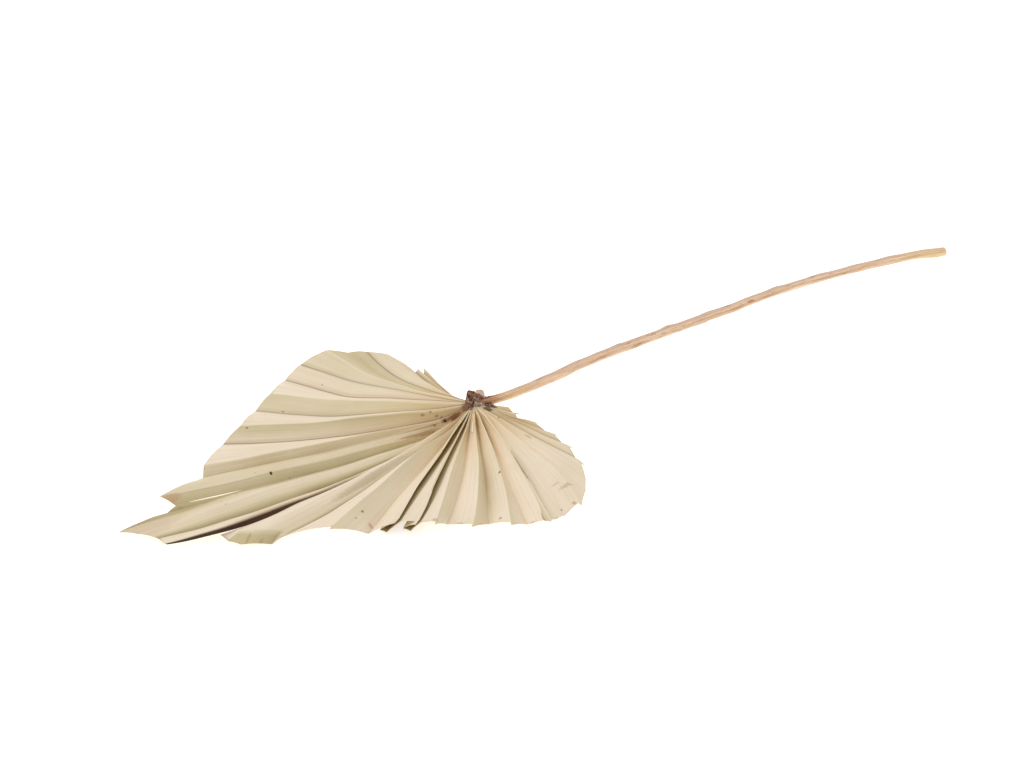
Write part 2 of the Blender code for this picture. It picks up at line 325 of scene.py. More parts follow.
@dataclass
class Blade:
    """The pleated sheet, with its ribs, tears, slits and ragged edge.

    Args:
        rows: faces from the hub to the edge.
        thickness: of the dry sheet.
        root: where the folds start, from the hub's middle.
        stalk_clearance: how far the folds behind the hub start from the stalk's centreline.
        tear_start: where the large tear begins, from the hub.
        rib: height of the cord-like rib along each crest, near the hub.
        rib_width: half the rib's width.
        rib_fade: share of the rib's height that is lost by the edge.
        rib_rise: how many times sooner than the edge the rib reaches its height.
        trim_step: how much longer a pleat is after its crest than before it.
        trim_step_from: bearing past which the pleats are trimmed in steps.
        curl_width: how far in from the edge a curl begins.
        full_curl: millimetres of curl that take the whole shade.
        curl_fade: share of the curl's width over which its shade begins.
        curl_tone: how much darker the shade is.
        dive, tip_dive: share of its first drop that a fold makes right beside the hub, and what the tip adds.
        tip_bearing, tip_spread: middle and half width of the folds that take tip_dive.
        waver: degrees by which a fold wanders.
        lift: by how much a fold's height wanders.
        calm: how far from the hub they take to reach their full size.
        warp, warp_calm: the same for the height of the whole sheet.
        crest_belly, belly: how far a panel bulges after a crest and elsewhere, as a share of its width.
        slit_room: share of a panel's width that is kept free beside a slit.
        slit_bluntness: power of the curve that rounds a slit's ends, blunter the lower it is.
        min_gap: narrowest opening that is cut.
        stain_and_shade_from: share of the torn strip's way across where its dark colour begins, the brown of
            the torn edge darkened as painted shade under the raised tip.
        lowest: how far the sheet stays over the table.
        sunk_from, sunk_depth: height under which the near folds are in shade, and how far down it is full.
        sunk_reach: how far from the hub the shade goes.
        sunk_bearing: where it begins, and over how many more degrees it grows.
        sharp_from: degrees between faces past which an edge is sharp.
    """

    rows: int = 70
    thickness: float = 0.35 * MM
    root: float = 3.0 * MM
    stalk_clearance: float = 3.0 * MM
    tear_start: float = 47 * MM
    rib: float = 0.32 * MM
    rib_width: float = 0.45 * MM
    rib_fade: float = 0.7
    rib_rise: float = 8.0
    trim_step: float = 3 * MM
    trim_step_from: float = 25.0
    curl_width: float = 7 * MM
    full_curl: float = 3.5
    curl_fade: float = 0.15
    curl_tone: float = 0.9
    dive: float = 0.4
    tip_dive: float = 0.36
    tip_bearing: float = 1.0
    tip_spread: float = 24.0
    waver: float = 0.35
    lift: float = 0.5 * MM
    calm: float = 40 * MM
    warp: float = 0.45 * MM
    warp_calm: float = 60 * MM
    crest_belly: float = 0.05
    belly: float = 0.035
    slit_room: float = 0.04
    slit_bluntness: float = 0.7
    min_gap: float = 0.02 * MM
    stain_and_shade_from: float = 0.2
    lowest: float = 0.05 * MM
    sunk_from: float = 14.2 * MM
    sunk_depth: float = 4 * MM
    sunk_reach: float = 46 * MM
    sunk_bearing: float = 18.0
    sharp_from: float = 50.0
    hub: Vector = field(default_factory=hub_place)

    FINE = (0, 0.03, 0.08, 0.17, 0.29, 0.42, 0.56, 0.7, 0.82, 0.91, 0.97)
    MEDIUM = (0, 0.06, 0.2, 0.4, 0.6, 0.8, 0.94)
    COARSE = (0, 0.15, 0.5, 0.85)
    FINE_FROM = 6 * MM
    MEDIUM_FROM = 2.5 * MM
    HEIGHT_KNOTS = np.array((0, 0.06, 0.15, 0.4, 0.7, 1))
    WAVER = Unevenness(45, 3.1, 2.0)
    LIFT = Unevenness(38, 1.7, 9.0)
    WARP = Unevenness(90, 30, 5.0)
    PAINTED = ("rib", "dip", "tone", "across", "along", "torn", "sunk_shade", "rim")

    def fold_line(self, fold: Fold, shares: np.ndarray, longer: float = 0.0) -> np.ndarray:
        """The points of one fold.

        Args:
            fold: the fold.
            shares: how far out each point is, from 0 at the root to 1 at the edge.
            longer: metres to add to its reach.

        Returns:
            Points by row, round the foot of the hub.
        """
        sideways = math.sin(math.radians(abs(fold.bearing)))
        root = self.root if abs(fold.bearing) < 90 else max(self.root, self.stalk_clearance / sideways)
        reach = fold.reach * MM + longer
        radii = root + shares * (reach - root)
        from_tip = (fold.bearing - self.tip_bearing) / self.tip_spread
        dive = self.dive + self.tip_dive * math.exp(-(from_tip**4))
        dived = HUB_HEIGHT + (fold.heights[0] * MM - HUB_HEIGHT) * dive
        levels = np.array((HUB_HEIGHT, dived, *(height * MM for height in fold.heights)))
        heights = flowing(self.HEIGHT_KNOTS, levels, shares)
        grown = np.minimum(1, radii / self.calm)
        swing = fold.bearing + fold.bow * 4 * shares * (1 - shares)
        waver = np.array([self.WAVER.at(radius, fold.bearing) for radius in radii])
        swing = swing + self.waver * waver * grown
        lift = np.array([self.LIFT.at(radius, fold.bearing) for radius in radii])
        heights = heights + self.lift * lift * grown
        bend = np.clip((radii - reach + self.curl_width) / self.curl_width, 0, 1)
        heights = heights - fold.curl * MM * bend
        angles = np.radians(swing)
        return np.stack((-radii * np.cos(angles), -radii * np.sin(angles), heights), axis=1)

    def curl_shade(self, before: Fold, after: Fold, column: np.ndarray) -> np.ndarray:
        """How much of the curled edge's shade each point of a column takes.

        Args:
            before, after: the folds on its two sides.
            column: its points.

        Returns:
            Shares by row.
        """
        radii = np.linalg.norm(column[:, :2], axis=1)
        fade = self.curl_fade * self.curl_width
        curled = min(before.curl, after.curl) / self.full_curl
        return np.clip((radii - radii[-1] + self.curl_width) / fade, 0, 1) * min(1.0, curled)

    def panel_places(self, before: Fold, after: Fold) -> tuple[float, ...]:
        """Chooses where the columns stand across a panel, closer together beside the folds.

        Args:
            before, after: the folds on its two sides.

        Returns:
            Shares of the way across, without the far fold.
        """
        ends = [self.fold_line(fold, np.ones(1))[0] for fold in (before, after)]
        width = np.linalg.norm(ends[1] - ends[0])
        if width > self.FINE_FROM:
            return self.FINE
        return self.MEDIUM if width > self.MEDIUM_FROM else self.COARSE

    def panel(self, before: Fold, after: Fold, shares: np.ndarray) -> Panel:
        """Spans a panel between two folds.

        Args:
            before, after: the folds.
            shares: how far out each row is.

        Returns:
            The panel.
        """
        is_stepped = before.crease is CREST and before.bearing > self.trim_step_from
        longer = self.trim_step if is_stepped else 0.0
        start = self.fold_line(before, shares)
        first = self.fold_line(before, shares, longer)
        return Panel(before, after, start, first, self.fold_line(after, shares))

    def slit_spread(self, slit: Slit, column: np.ndarray) -> np.ndarray:
        """How far a slit's sides stand from its middle.

        Args:
            slit: the slit.
            column: the points along its middle.

        Returns:
            Metres by row, 0 past its ends.
        """
        radii = np.linalg.norm(column[:, :2], axis=1) / MM
        inside = np.clip((radii - slit.start) / (slit.end - slit.start), 0, 1)
        return 0.5 * slit.gap * MM * np.sin(math.pi * inside) ** self.slit_bluntness

    def rim_distance(self, column: np.ndarray, shares: np.ndarray) -> np.ndarray:
        """How far each point of a column is from the edge, as a share of NEAR, up to 1."""
        return np.minimum(1, (1 - shares) * np.linalg.norm(column[-1, :2]) / (NEAR * MM))

    def panel_columns(
        self, panel: Panel, shares: np.ndarray, travelled: float
    ) -> list[dict[str, np.ndarray]]:
        """Works out one panel's columns, all but the one on its far fold.

        Args:
            panel: the panel.
            shares: how far out each row is.
            travelled: how wide the panels before it are at the edge.

        Returns:
            For each column, its places and paint values by row.
        """
        places = list(self.panel_places(panel.before, panel.after))
        slit = next((item for item in SLITS if item.after == panel.before.bearing), None)
        if slit is not None:
            clear = [place for place in places if abs(place - slit.place) > self.slit_room]
            places = sorted(clear + [slit.place] * 2)
        columns = []
        for number, place in enumerate(places):
            column = panel.column(place)
            bulge = self.crest_belly if panel.before.crease is CREST else self.belly
            column[:, 2] += bulge * math.sin(math.pi * place) * panel.width * shares
            opened = np.zeros(len(shares))
            if slit is not None and place == slit.place:
                side = 1 if places[number - 1] == slit.place else -1
                spread = self.slit_spread(slit, column)
                across = (panel.last - panel.first) / np.maximum(panel.width, 1e-6)[:, None]
                column = column + side * across * spread[:, None]
                opened = (spread > self.min_gap).astype(float) if side < 0 else opened
            if panel.is_open:
                opened = (np.linalg.norm(panel.first[:, :2], axis=1) > self.tear_start).astype(float)
            rib = panel.distance(place, (CREST,))
            near_crest = np.clip(1 - rib * NEAR * MM / self.rib_width, 0, 1)
            risen = np.minimum(1, shares * self.rib_rise)
            column[:, 2] += self.rib * near_crest * (1 - self.rib_fade * shares) * risen
            # The olive tone across the panel, which paints shade as well as the leaf's olive hue; the curled
            # edge adds painted shade on top.
            tone = panel.before.after + (panel.after.before - panel.before.after) * place
            # The torn strip takes the dark torn colour, a brown edge with painted shade.
            is_torn = (panel.is_strip and place > self.stain_and_shade_from) or (panel.is_open and place == 0)
            layers = {
                "place": column,
                "rib": rib,
                "dip": panel.distance(place, (VALLEY, TORN)),
                "tone": tone + self.curl_tone * self.curl_shade(panel.before, panel.after, column),
                "across": np.full(len(shares), travelled + place * panel.width[-1]),
                "open": opened,
                "torn": np.full(len(shares), float(is_torn)),
                "rim": self.rim_distance(column, shares),
            }
            columns.append(layers)
        return columns

    def last_column(self, shares: np.ndarray, travelled: float) -> dict[str, np.ndarray]:
        """Works out the column on the last fold, which ends the sheet.

        Args:
            shares: how far out each row is.
            travelled: how wide the whole sheet is at the edge.

        Returns:
            Its places and paint values by row.
        """
        column = self.fold_line(FOLDS[-1], shares)
        values = {"rib": 0.0, "dip": 1.0, "tone": 0.0, "across": travelled, "open": 0.0, "torn": 0.0}
        layers = {name: np.full(len(shares), value) for name, value in values.items()}
        return {"place": column, **layers, "rim": self.rim_distance(column, shares)}

    def lay_out(self) -> dict[str, np.ndarray]:
        """Works out every column of the sheet.

        Returns:
            Arrays by column and row: places, and the paint values that the finish reads.
        """
        shares = np.linspace(0, 1, self.rows + 1)
        columns = []
        travelled = 0.0
        for before, after in zip(FOLDS, FOLDS[1:]):
            panel = self.panel(before, after, shares)
            columns += self.panel_columns(panel, shares, travelled)
            travelled += panel.width[-1]
        columns.append(self.last_column(shares, travelled))
        layout = {name: np.array([column[name] for column in columns]) for name in columns[0]}
        places = layout["place"]
        radii = np.linalg.norm(places[:, :, :2], axis=2)
        for column, row in np.ndindex(radii.shape):
            side, out = layout["across"][column, row], radii[column, row]
            grown = min(1.0, out / self.warp_calm)
            places[column, row, 2] += self.warp * grown * self.WARP.at(side, out)
        places[:, :, 2] = np.maximum(places[:, :, 2], self.thickness + self.lowest)
        return {**layout, "along": radii, "sunk_shade": self.sunk_shade(places, radii)}

    def sunk_shade(self, places: np.ndarray, radii: np.ndarray) -> np.ndarray:
        """How deep each point lies between the steep near folds by the hub, which sets how much painted
        shadow it takes.

        Args:
            places: the sheet's points, by column and row.
            radii: their distances from the hub.

        Returns:
            Depths from 0 to 1, by column and row.
        """
        bearings = np.degrees(np.arctan2(-places[:, :, 1], -places[:, :, 0]))
        deep = np.clip((self.sunk_from - places[:, :, 2]) / self.sunk_depth, 0, 1)
        near_side = np.clip((bearings - self.sunk_bearing) / self.sunk_bearing, 0, 1)
        return deep * np.clip(1 - radii / self.sunk_reach, 0, 1) * near_side

    def build(self) -> bpy.types.Object:
        """Models the blade.

        Returns:
            The blade, without a material.
        """
        layout = self.lay_out()
        count = len(layout["place"])
        deselect_all()
        bpy.ops.mesh.primitive_grid_add(x_subdivisions=count - 1, y_subdivisions=self.rows, size=2)
        blade = bpy.context.active_object
        blade.name = blade.data.name = "leaf_blade"
        mesh = blade.data
        flat = np.zeros(len(mesh.vertices) * 3)
        mesh.vertices.foreach_get("co", flat)
        flat = flat.reshape(-1, 3)
        column = np.rint((flat[:, 0] + 1) / 2 * (count - 1)).astype(int)
        row = np.rint((flat[:, 1] + 1) / 2 * self.rows).astype(int)
        placed = layout["place"][column, row] + np.array(self.hub)
        mesh.vertices.foreach_set("co", placed.ravel())
        for name in self.PAINTED:
            values = mesh.attributes.new(name, "FLOAT", "POINT")
            values.data.foreach_set("value", layout[name][column, row])
        corners = np.zeros(len(mesh.polygons) * 4, dtype=int)
        mesh.loops.foreach_get("vertex_index", corners)
        corners = corners.reshape(-1, 4)
        left = column[corners].min(axis=1)
        bottom = row[corners].min(axis=1)
        self.tear_open(mesh, np.flatnonzero(layout["open"][left, bottom + 1] > 0.5))
        wall = blade.modifiers.new("wall", "SOLIDIFY")
        wall.thickness = self.thickness
        wall.offset = -1
        bpy.ops.object.modifier_apply(modifier=wall.name)
        bpy.ops.object.shade_smooth_by_angle(angle=math.radians(self.sharp_from))
        LOG.info("blade: %d columns, %d faces", count, len(mesh.polygons))
        return blade

    def tear_open(self, mesh: bpy.types.Mesh, torn: np.ndarray) -> None:
        """Takes out the faces in the tears, joins the folds at the hub and turns the sheet face up.

        Args:
            mesh: the sheet.
            torn: numbers of the faces in the tears.
        """
        sheet = bmesh.new()
        sheet.from_mesh(mesh)
        sheet.faces.ensure_lookup_table()
        bmesh.ops.delete(sheet, geom=[sheet.faces[index] for index in torn], context="FACES")
        bmesh.ops.remove_doubles(sheet, verts=sheet.verts, dist=2 * TOUCHING)
        bmesh.ops.recalc_face_normals(sheet, faces=sheet.faces)
        if sum(face.normal.z * face.calc_area() for face in sheet.faces) < 0:
            bmesh.ops.reverse_faces(sheet, faces=sheet.faces)
        sheet.to_mesh(mesh)
        sheet.free()


class Value:
    """A number on its way through a material's nodes, so that its maths is written as an expression."""

    def __init__(self, paint: "Paint", socket: bpy.types.NodeSocket) -> None:
        """Wraps the socket that a node gives the number on."""
        self.paint = paint
        self.socket = socket

    def __add__(self, other: "Value | float") -> "Value":
        """This plus the other."""
        return self.paint.maths("ADD", self, other)

    __radd__ = __add__

    def __sub__(self, other: "Value | float") -> "Value":
        """This minus the other."""
        return self.paint.maths("SUBTRACT", self, other)

    def __rsub__(self, other: float) -> "Value":
        """The other minus this."""
        return self.paint.maths("SUBTRACT", other, self)

    def __mul__(self, other: "Value | float") -> "Value":
        """This times the other."""
        return self.paint.maths("MULTIPLY", self, other)

    def __truediv__(self, other: "Value | float") -> "Value":
        """This divided by the other."""
        return self.paint.maths("DIVIDE", self, other)

    def most(self, other: "Value | float") -> "Value":
        """The larger of this and the other."""
        return self.paint.maths("MAXIMUM", self, other)

    def least(self, other: "Value | float") -> "Value":
        """The smaller of this and the other."""
        return self.paint.maths("MINIMUM", self, other)

    def between(self, low: float, high: float) -> "Value":
        """Turns this into a smooth step.

        Args:
            low: where the step is 0.
            high: where it is 1, which may be the smaller of the two.

        Returns:
            The step.
        """
        return self.paint.value(
            "ShaderNodeMapRange",
            {"interpolation_type": "SMOOTHSTEP"},
            {"Value": self, "From Min": low, "From Max": high},
        )


Colour = tuple[int, int, int]


def linear(colour: Colour) -> tuple[float, float, float, float]:
    """A colour of 0 to 255 as Blender's linear colour."""
    parts = [part / 255 for part in colour]
    return (*(part / 12.92 if part <= 0.04045 else ((part + 0.055) / 1.055) ** 2.4 for part in parts), 1.0)


class Paint:
    """One material and its nodes."""

    def __init__(self, name: str) -> None:
        """Starts a material with no nodes.

        Args:
            name: what it is called.
        """
        self.material = bpy.data.materials.new(name)
        self.material.use_nodes = True
        self.tree = self.material.node_tree
        self.tree.nodes.clear()

    def node(self, kind: str, settings: dict | None = None, inputs: dict | None = None) -> bpy.types.Node:
        """Adds a node.

        Args:
            kind: the node's type.
            settings: its settings, set before its sockets.
            inputs: a value or a link for each socket, by name or number.

        Returns:
            The node.
        """
        node = self.tree.nodes.new(kind)
        for name, setting in (settings or {}).items():
            setattr(node, name, setting)
        for name, given in (inputs or {}).items():
            socket = node.inputs[name]
            if isinstance(given, Value):
                self.tree.links.new(given.socket, socket)
            elif isinstance(given, bpy.types.NodeSocket):
                self.tree.links.new(given, socket)
            else:
                socket.default_value = given
        return node

    def value(
        self, kind: str, settings: dict | None = None, inputs: dict | None = None, output: int = 0
    ) -> Value:
        """Adds a node and gives one of its outputs as a number."""
        return Value(self, self.node(kind, settings, inputs).outputs[output])

    def maths(self, operation: str, *terms: "Value | float") -> Value:
        """Adds a Math node for the operation on the terms."""
        return self.value("ShaderNodeMath", {"operation": operation}, dict(enumerate(terms)))

    def attribute(self, name: str) -> Value:
        """Reads a number that the mesh keeps at its points."""
        return self.value("ShaderNodeAttribute", {"attribute_name": name}, output=2)

    def vector(self, x: "Value | float", y: "Value | float", z: "Value | float") -> bpy.types.NodeSocket:
        """Joins three numbers into a vector."""
        return self.node("ShaderNodeCombineXYZ", inputs={"X": x, "Y": y, "Z": z}).outputs[0]

    def noise(
        self, place: bpy.types.NodeSocket, scale: float, detail: float = 2, rough: float = 0.5
    ) -> Value:
        """Soft noise round 0.5 at a place."""
        inputs = {"Vector": place, "Scale": scale, "Detail": detail, "Roughness": rough}
        return self.value("ShaderNodeTexNoise", inputs=inputs)

    def mix(
        self, amount: "Value | float", first: object, second: object, blend: str = "MIX"
    ) -> bpy.types.NodeSocket:
        """Mixes two colours.

        Args:
            amount: how much of the second.
            first, second: colours or links.
            blend: how they mix.

        Returns:
            The mixed colour's socket.
        """
        settings = {"data_type": "RGBA", "blend_type": blend}
        return self.node("ShaderNodeMix", settings, {0: amount, 6: first, 7: second}).outputs[2]

    def finish(
        self,
        colour: bpy.types.NodeSocket,
        rough: "Value | float",
        bumps: list[tuple[Value, float]],
        constants: dict[str, float],
    ) -> bpy.types.Material:
        """Ends the material with its shader.

        Args:
            colour: of the surface.
            rough: its roughness.
            bumps: heights from 0 to 1, each with how tall it is in metres.
            constants: the shader's settings that are the same all over.

        Returns:
            The material.
        """
        normal = None
        for height, depth in bumps:
            inputs = {"Height": height, "Distance": depth, "Strength": 1.0}
            if normal is not None:
                inputs["Normal"] = normal
            normal = self.node("ShaderNodeBump", inputs=inputs).outputs[0]
        inputs = {"Base Color": colour, "Roughness": rough, **constants}
        if normal is not None:
            inputs["Normal"] = normal
        shader = self.node("ShaderNodeBsdfPrincipled", inputs=inputs)
        self.node("ShaderNodeOutputMaterial", inputs={"Surface": shader.outputs[0]})
        return self.material


@dataclass(frozen=True)
class Mark:
    """A speck, blotch or stain on the blade, or a band or line of painted shade.

    Args:
        bearing, reach: its middle, in degrees and millimetres.
        length, width: its half sizes along and across the fibres, in millimetres.
        strength: how far it hides the leaf, up to 1.
        colour: its colour.
    """

    bearing: float
    reach: float
    length: float
    width: float
    strength: float
    colour: Colour


class LeafMaps:
    """What the blade's mesh and noises say at each point, read once for its whole finish.

    The distances from crests, creases and the rim are in millimetres. Those along and across the fibres are
    in metres.
    """

    FIBRES = (2600, 22)
    THREADS = (900, 12)
    PATCHES = (60, 14)

    def __init__(self, paint: Paint) -> None:
        """Reads the maps into a material.

        Args:
            paint: the material.
        """
        self.paint = paint
        self.place = paint.node("ShaderNodeTexCoord").outputs["Object"]
        self.across = paint.attribute("across")
        self.along = paint.attribute("along")
        self.rib = paint.attribute("rib") * NEAR
        self.dip = paint.attribute("dip") * NEAR
        self.tone = paint.attribute("tone")
        self.rim = paint.attribute("rim") * NEAR
        self.torn = paint.attribute("torn")
        self.sunk_shade = paint.attribute("sunk_shade")
        self.fibres = self.drawn(self.FIBRES, 0.0, 3, 0.6)
        self.threads = self.drawn(self.THREADS, 4.0, 2, 0.5)
        self.clouds = paint.noise(self.place, 38, 3, 0.55)
        self.patches = self.drawn(self.PATCHES, 8.0, 3, 0.6)
        self.near_hub = self.along.between(0.07, 0.008)

    def drawn(self, scales: tuple[float, float], seed: float, detail: float, rough: float) -> Value:
        """Noise that is drawn out along the fibres.

        Args:
            scales: how quickly it changes across and along them.
            seed: which noise it is.
            detail, rough: its fineness and how strong the fine part is.

        Returns:
            The noise, round 0.5.
        """
        streaks = self.paint.vector(self.across * scales[0], self.along * scales[1], seed)
        return self.paint.noise(streaks, 1.0, detail, rough)


@dataclass(frozen=True)
class BladeFinish:
    """Dried leaf: cream and olive panels with pale ribs, brown creases, specks and a stained hub, with
    painted shade on flanks turned from the light, in pockets, along valleys, between the ribs by the hub and
    on the torn strip.
    """

    cream: Colour = (244, 227, 202)
    # The leaf's own olive hue, also used to paint shade on flanks turned from the light.
    olive: Colour = (208, 193, 150)
    rib: Colour = (243, 229, 198)
    # Crease colours, which also paint shade in the pockets under folds and along the valleys.
    crease: Colour = (134, 110, 68)
    brown_crease: Colour = (132, 84, 46)
    # Painted shade between the ribs near the hub.
    hollow_shade: Colour = (170, 130, 82)
    hub: Colour = (232, 200, 142)
    # Painted shadow deep between the steep near folds by the hub.
    shadow: Colour = (128, 96, 56)
    speck: Colour = (112, 86, 54)
    rim: Colour = (196, 140, 104)
    # The torn strip's colour: a brown torn edge darkened to near black as painted shade under the raised tip.
    torn: Colour = (64, 36, 10)
    marks: tuple[Mark, ...] = ()

    def panels(self, paint: Paint, maps: LeafMaps) -> bpy.types.NodeSocket:
        """Colours the panels from cream to olive and on to brown, with fine fibres; the olive is partly the
        leaf's own hue and partly painted shade, and the brown is painted shade in the pockets under
        overhanging folds.

        Args:
            paint: the material.
            maps: what the mesh says.

        Returns:
            The colour so far.
        """
        # Olive mask: the leaf's hue plus painted shade; the part past 1 paints the pockets' shade in crease
        # brown.
        olive = maps.tone + (maps.clouds - 0.5) * 0.5 + (maps.patches - 0.5) * 0.4
        colour = paint.mix(olive.most(0.0).least(1.0), linear(self.cream), linear(self.olive))
        colour = paint.mix((olive - 1).most(0.0).least(1.0), colour, linear(self.crease))
        colour = paint.mix((1 - maps.threads.between(0.3, 0.5)) * 0.15, colour, linear(self.olive))
        shade = (maps.fibres - 0.5) * 0.22 + (maps.threads - 0.5) * 0.16
        grey = paint.vector(1.0 + shade, 1.0 + shade, 1.0 + shade * 1.1)
        return paint.mix(1.0, colour, grey, "MULTIPLY")

    def lines(self, paint: Paint, maps: LeafMaps, colour: bpy.types.NodeSocket) -> bpy.types.NodeSocket:
        """Tints the hub, paints shadow between the near folds, paints shade along the valleys and between the
        ribs by the hub, darkens the creases and lightens the ribs.

        Args:
            paint: the material.
            maps: what the mesh says.
            colour: the colour so far.

        Returns:
            The new colour.
        """
        colour = paint.mix(maps.near_hub * 0.5, colour, linear(self.hub))
        # Painted shadow deep between the steep near folds by the hub.
        colour = paint.mix(maps.sunk_shade * 0.55, colour, linear(self.shadow))
        brown = paint.mix(maps.along.between(0.07, 0.015), linear(self.crease), linear(self.brown_crease))
        # A soft band of painted shade along each valley and tear, weaker by the hub.
        soft = (1 - maps.dip.between(0.3, 3.5)) * (0.22 - maps.near_hub * 0.14)
        colour = paint.mix(soft, colour, brown)
        # A narrow dark line along each valley and tear, partly a brown crease mark and partly painted shade
        # in the fold.
        colour = paint.mix((1 - maps.dip.between(0.12, 0.7)) * 0.6, colour, brown)
        # Painted shade between the ribs near the hub.
        hollow_shade = maps.along.between(0.045, 0.01) * maps.rib.between(0.7, 1.8)
        colour = paint.mix(hollow_shade * 0.22, colour, linear(self.hollow_shade))
        return paint.mix((1 - maps.rib.between(0.35, 0.7)) * 0.8, colour, linear(self.rib))

    def edge(self, paint: Paint, maps: LeafMaps, colour: bpy.types.NodeSocket) -> bpy.types.NodeSocket:
        """Browns the rim in patches and scatters fine dots.

        Args:
            paint: the material.
            maps: what the mesh says.
            colour: the colour so far.

        Returns:
            The new colour.
        """
        rim_patches = paint.noise(paint.vector(maps.across * 130, 3.0, 1.0), 1.0, 2)
        browned = (1 - maps.rim.between(0.2, 1.3)) * rim_patches.between(0.47, 0.68)
        colour = paint.mix(browned * 0.6, colour, linear(self.rim))
        dust = paint.value("ShaderNodeTexVoronoi", {"feature": "F1"}, {"Vector": maps.place, "Scale": 150.0})
        chance = paint.noise(maps.place, 90, 1)
        dots = (1 - dust.between(0.05, 0.12)) * chance.between(0.6, 0.68)
        return paint.mix(dots * 0.45, colour, linear(self.speck))

    def marked(
        self, paint: Paint, maps: LeafMaps, colour: bpy.types.NodeSocket, hub: Vector
    ) -> bpy.types.NodeSocket:
        """Lays the marks on, each with a ragged outline.

        Args:
            paint: the material.
            maps: what the mesh says.
            colour: the colour so far.
            hub: the foot of the hub, which the marks are placed from.

        Returns:
            The new colour.
        """
        ragged = paint.noise(maps.place, 700, 3, 0.6)
        axes = paint.node("ShaderNodeSeparateXYZ", inputs={"Vector": maps.place}).outputs
        table_x, table_y = Value(paint, axes["X"]), Value(paint, axes["Y"])
        for mark in self.marks:
            angle = math.radians(mark.bearing)
            outward = (-math.cos(angle), -math.sin(angle))
            x = table_x - (hub.x + mark.reach * MM * outward[0])
            y = table_y - (hub.y + mark.reach * MM * outward[1])
            down = (x * outward[0] + y * outward[1]) / (mark.length * MM)
            side = (y * outward[0] - x * outward[1]) / (mark.width * MM)
            spread = down * down + side * side + (ragged - 0.5) * 1.6
            colour = paint.mix((1 - spread.between(0.2, 1.25)) * mark.strength, colour, linear(mark.colour))
        return colour

    def material(self, hub: Vector) -> bpy.types.Material:
        """Makes the finish.

        Args:
            hub: the foot of the hub, which the marks are placed from.

        Returns:
            The material.
        """
        paint = Paint("dried_leaf")
        maps = LeafMaps(paint)
        colour = self.panels(paint, maps)
        colour = self.lines(paint, maps, colour)
        colour = self.edge(paint, maps, colour)
        colour = self.marked(paint, maps, colour, hub)
        # The torn strip: its brown edge darkened as painted shade under the raised tip.
        colour = paint.mix(maps.torn * maps.along.between(0.05, 0.13), colour, linear(self.torn))
        rough = 0.62 + (maps.clouds - 0.5) * 0.3
        bumps = [(maps.fibres, 0.06 * MM), (maps.threads, 0.18 * MM), (maps.patches, 0.5 * MM)]
        return paint.finish(colour, rough, bumps, {"Specular IOR Level": 0.35})


class StalkMaps:
    """What the stalk's mesh and noises say at each point.

    The length is in metres. Side and up go from -1 to 1 round the stalk.
    """

    def __init__(self, paint: Paint) -> None:
        """Reads the maps into a material.

        Args:
            paint: the material.
        """
        self.length = paint.attribute("length")
        self.side = paint.attribute("side")
        self.up = paint.attribute("up")
        self.cut = paint.attribute("cut")
        side, up, length = self.side, self.up, self.length
        self.grain = paint.noise(paint.vector(side * 4, up * 4, length * 55), 1.0, 4, 0.7)
        self.lines = paint.noise(paint.vector(side * 9 + length * 30, up * 9, length * 18), 1.0, 2, 0.5)
        self.bands = paint.noise(paint.vector(side * 1.6, up * 1.6, length * 30), 1.0, 3, 0.55)
        self.blotches = paint.noise(paint.vector(side * 1.4, up * 1.4, length * 110), 1.0, 3, 0.6)


